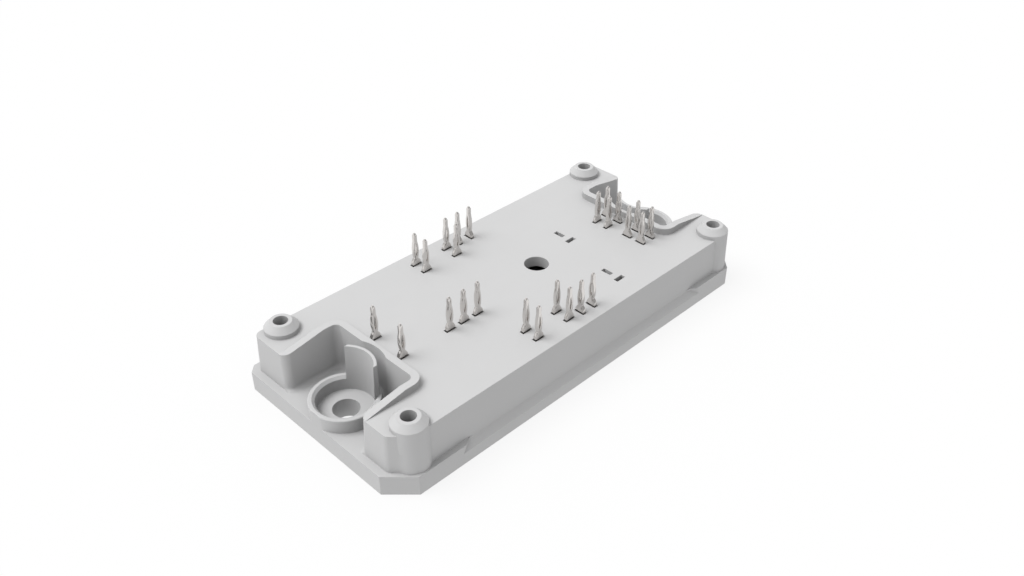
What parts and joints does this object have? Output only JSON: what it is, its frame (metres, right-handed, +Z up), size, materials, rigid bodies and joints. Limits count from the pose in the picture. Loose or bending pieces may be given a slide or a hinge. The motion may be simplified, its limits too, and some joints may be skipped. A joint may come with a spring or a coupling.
{
  "type": "power module",
  "caption": "Flat moulded power module with press-fit pins, board standoffs, screw collars in open end bays and a copper-faced ceramic base.",
  "frame": {"origin": "middle of the flat bottom face, under the middle of the flange", "axes": "+X along the module from one screw collar to the other, +Y across it towards the side with the small flange corners, +Z up through the press-fit pins"},
  "size_m": [0.082, 0.0374, 0.0165],
  "materials": {
    "housing_plastic": "fine matt moulded surface, pale grey",
    "tinned_pin": "bright tin on stamped copper, softly reflecting",
    "copper": "bare copper, satin",
    "ceramic": "white alumina, dull",
    "adhesive": "cured silicone adhesive, pale grey",
    "silicon": "metallised silicon, bright",
    "thermistor_body": "dark sintered ceramic",
    "bond_wire": "drawn aluminium wire, bright",
    "gel": "soft clear silicone gel"
  },
  "bodies": {
    "root": {"housing": "housing_plastic", "bottom_copper": "copper", "ceramic_plate": "ceramic", "edge_adhesive": "adhesive", "copper_tracks": "copper", "thermistor": "thermistor_body", "bond_wires": "bond_wire", "silicone_gel": "gel", "transistor_die_1": "silicon", "diode_die_1": "silicon", "transistor_die_2": "silicon", "diode_die_2": "silicon", "transistor_die_3": "silicon", "diode_die_3": "silicon", "transistor_die_4": "silicon", "diode_die_4": "silicon", "press_fit_pin_01": "tinned_pin", "press_fit_pin_02": "tinned_pin", "press_fit_pin_03": "tinned_pin", "press_fit_pin_04": "tinned_pin", "press_fit_pin_05": "tinned_pin", "press_fit_pin_06": "tinned_pin", "press_fit_pin_07": "tinned_pin", "press_fit_pin_08": "tinned_pin", "press_fit_pin_09": "tinned_pin", "press_fit_pin_10": "tinned_pin", "press_fit_pin_11": "tinned_pin", "press_fit_pin_12": "tinned_pin", "press_fit_pin_13": "tinned_pin", "press_fit_pin_14": "tinned_pin", "press_fit_pin_15": "tinned_pin", "press_fit_pin_16": "tinned_pin", "press_fit_pin_17": "tinned_pin", "press_fit_pin_18": "tinned_pin", "press_fit_pin_19": "tinned_pin", "press_fit_pin_20": "tinned_pin", "press_fit_pin_21": "tinned_pin", "press_fit_pin_22": "tinned_pin", "press_fit_pin_23": "tinned_pin", "press_fit_pin_24": "tinned_pin", "press_fit_pin_25": "tinned_pin"}
  },
  "joints": []
}
